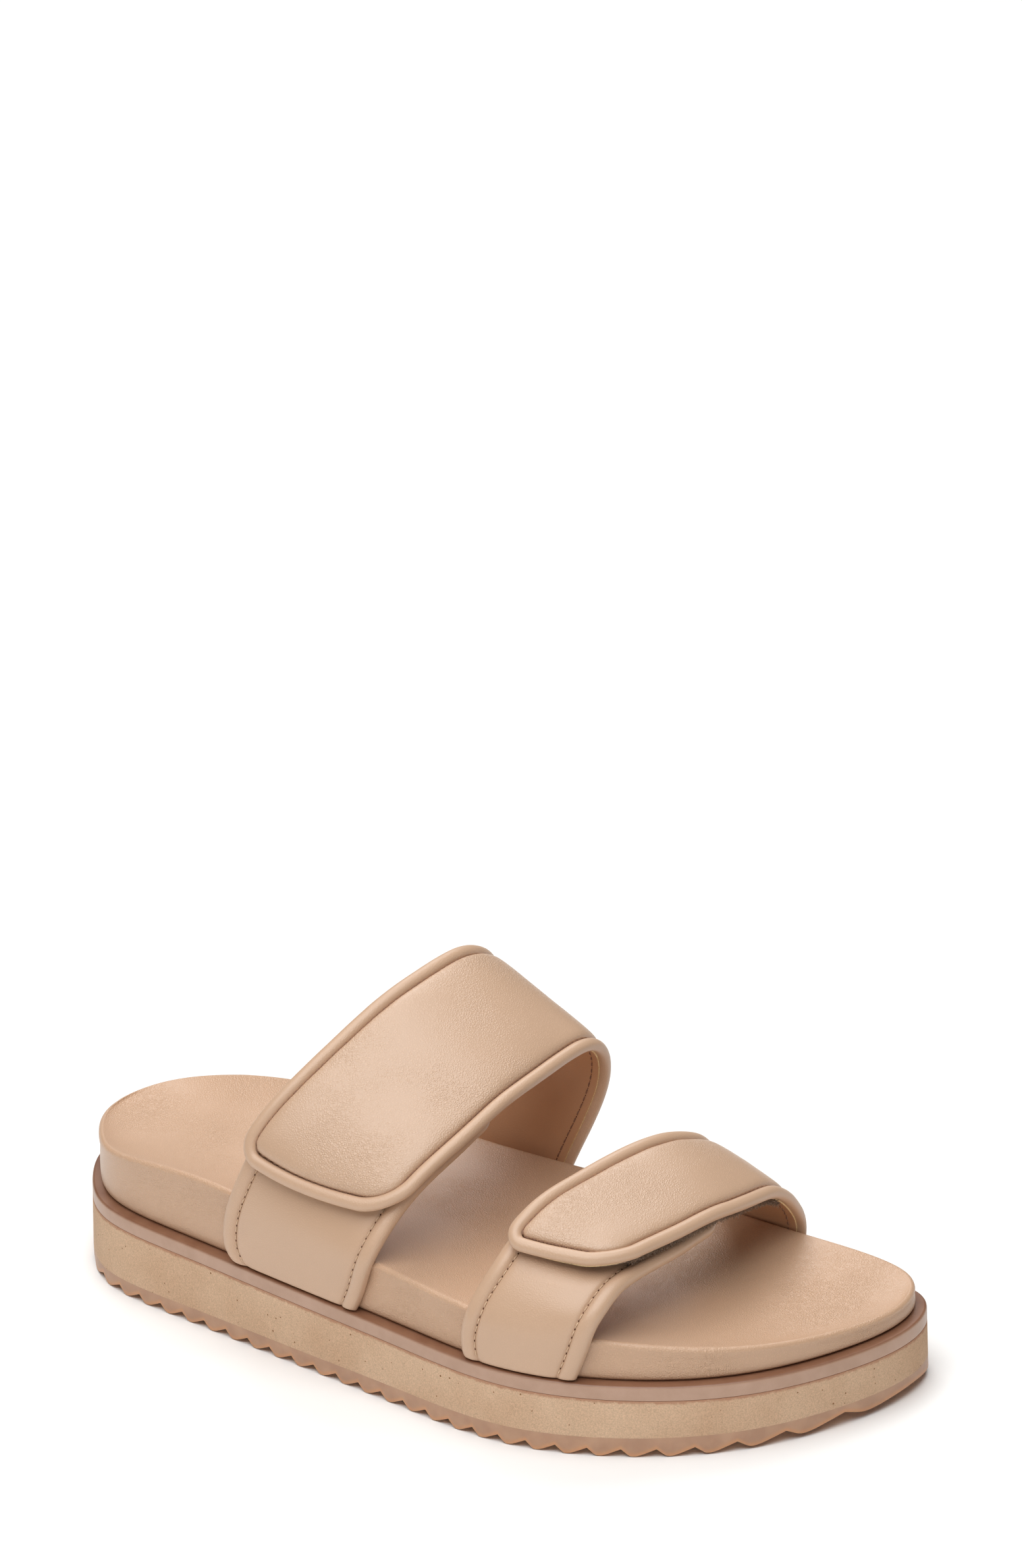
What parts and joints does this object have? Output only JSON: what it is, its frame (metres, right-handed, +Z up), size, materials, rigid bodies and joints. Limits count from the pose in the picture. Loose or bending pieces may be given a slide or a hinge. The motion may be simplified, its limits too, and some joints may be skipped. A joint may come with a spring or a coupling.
{
  "type": "slide sandal",
  "caption": "Open slide sandal for the right foot with padded hook and loop straps, a wrapped footbed, a foam wedge and a sawtooth outsole.",
  "frame": {"origin": "on the ground under the middle of the shoe's box", "axes": "+X towards the toe, +Y towards the big toe side, +Z up"},
  "size_m": [0.2724, 0.1138, 0.1061],
  "materials": {
    "rubber": "satin translucent rubber",
    "foam": "matte porous foam",
    "welt": "smooth matte",
    "footbed_cover": "fine grained, satin",
    "strap_cover": "fine grained, satin",
    "hook_and_loop": "matte fuzz"
  },
  "bodies": {
    "root": {"outsole": "rubber", "midsole": "foam", "welt": "welt", "footbed": "footbed_cover", "rear_strap_base": "strap_cover", "rear_strap_tape": "hook_and_loop", "rear_strap_flap": "strap_cover", "rear_flap_piping": "strap_cover", "front_strap_base": "strap_cover", "front_strap_tape": "hook_and_loop", "front_strap_flap": "strap_cover", "front_flap_piping": "strap_cover"}
  },
  "joints": []
}
